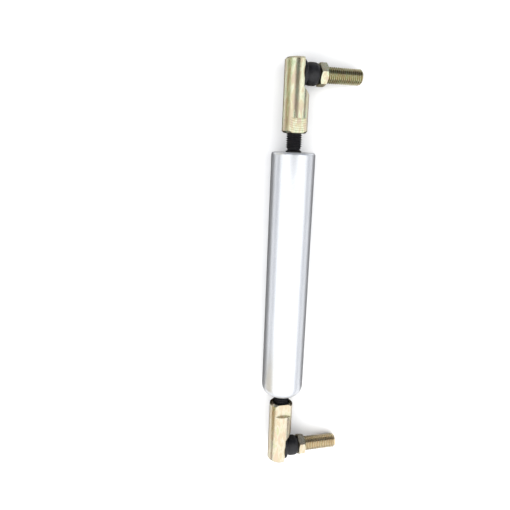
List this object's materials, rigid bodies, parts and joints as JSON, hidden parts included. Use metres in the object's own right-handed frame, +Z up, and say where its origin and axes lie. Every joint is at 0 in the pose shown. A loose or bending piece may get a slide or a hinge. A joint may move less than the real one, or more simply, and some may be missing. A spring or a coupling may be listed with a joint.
{
  "type": "gas strut stay",
  "caption": "Closed gas strut: silver tube with a domed end, short black threaded rod, and a plated ball joint with a rubber boot and a threaded side stud at each end.",
  "frame": {"origin": "middle of the footprint on the surface it lies on, at z = 0", "axes": "+Y along the strut towards the rod end, +X towards the side that the two studs point to, +Z up"},
  "size_m": [0.0446, 0.217, 0.0222],
  "materials": {
    "cylinder_tube": "satin silver paint",
    "end_plug_stud": "black oxide steel",
    "end_plug_o_ring": "matt black nitrile rubber",
    "rod_guide": "black glass-filled nylon",
    "guide_o_ring": "matt black nitrile rubber",
    "rod_seal": "black nitrile rubber",
    "seal_washer": "bare steel",
    "stop_ring": "bare spring steel",
    "piston_rod": "black nitrided steel",
    "piston": "sintered steel",
    "piston_ring": "off-white PTFE",
    "front_washer": "bare steel",
    "rear_washer": "bare steel",
    "upper_housing": "yellow-passivated zinc plate on steel",
    "upper_retainer": "bare steel",
    "upper_race": "natural acetal",
    "upper_boot": "satin black rubber",
    "upper_ball_stud": "yellow-passivated zinc plate on steel",
    "lower_housing": "yellow-passivated zinc plate on steel",
    "lower_retainer": "bare steel",
    "lower_race": "natural acetal",
    "lower_boot": "satin black rubber",
    "lower_ball_stud": "yellow-passivated zinc plate on steel"
  },
  "bodies": {
    "cylinder": {"cylinder_tube": "cylinder_tube", "end_plug_stud": "end_plug_stud", "end_plug_o_ring": "end_plug_o_ring", "rod_guide": "rod_guide", "guide_o_ring": "guide_o_ring", "rod_seal": "rod_seal", "seal_washer": "seal_washer", "stop_ring": "stop_ring", "lower_housing": "lower_housing", "lower_retainer": "lower_retainer"},
    "piston_seal": {"piston_ring": "piston_ring"},
    "rod": {"piston_rod": "piston_rod", "piston": "piston", "front_washer": "front_washer", "rear_washer": "rear_washer", "upper_housing": "upper_housing", "upper_retainer": "upper_retainer"},
    "upper_cup": {"upper_race": "upper_race"},
    "upper_seal": {"upper_boot": "upper_boot"},
    "upper_stud": {"upper_ball_stud": "upper_ball_stud"},
    "lower_cup": {"lower_race": "lower_race"},
    "lower_seal": {"lower_boot": "lower_boot"},
    "lower_stud": {"lower_ball_stud": "lower_ball_stud"}
  },
  "joints": [
    {"name": "rod_slide", "type": "slide", "parent": "cylinder", "child": "piston_seal", "axis": [0, 1, 0], "range_m": [0, 0.085]},
    {"name": "rod_turn", "type": "hinge", "parent": "piston_seal", "child": "rod", "pos_m": [-0.01116, 0, 0.0111], "axis": [0, 1, 0], "continuous": true},
    {"name": "upper_swivel", "type": "hinge", "parent": "rod", "child": "upper_cup", "pos_m": [-0.01165, 0.1016, 0.01121], "axis": [0.9753, 0, -0.2207], "continuous": true},
    {"name": "upper_tilt", "type": "hinge", "parent": "upper_cup", "child": "upper_seal", "pos_m": [-0.01165, 0.1016, 0.01121], "axis": [0.2207, 0, 0.9753], "range_deg": [-20, 20], "deforming": ["upper_boot"]},
    {"name": "upper_spin", "type": "hinge", "parent": "upper_seal", "child": "upper_stud", "pos_m": [-0.01165, 0.1016, 0.01121], "axis": [0.9753, 0, -0.2207], "continuous": true},
    {"name": "lower_swivel", "type": "hinge", "parent": "cylinder", "child": "lower_cup", "pos_m": [-0.01165, -0.1016, 0.01121], "axis": [0.9753, 0, -0.2207], "continuous": true},
    {"name": "lower_tilt", "type": "hinge", "parent": "lower_cup", "child": "lower_seal", "pos_m": [-0.01165, -0.1016, 0.01121], "axis": [-0.2207, 0, -0.9753], "range_deg": [-20, 20], "deforming": ["lower_boot"]},
    {"name": "lower_spin", "type": "hinge", "parent": "lower_seal", "child": "lower_stud", "pos_m": [-0.01165, -0.1016, 0.01121], "axis": [0.9753, 0, -0.2207], "continuous": true}
  ]
}
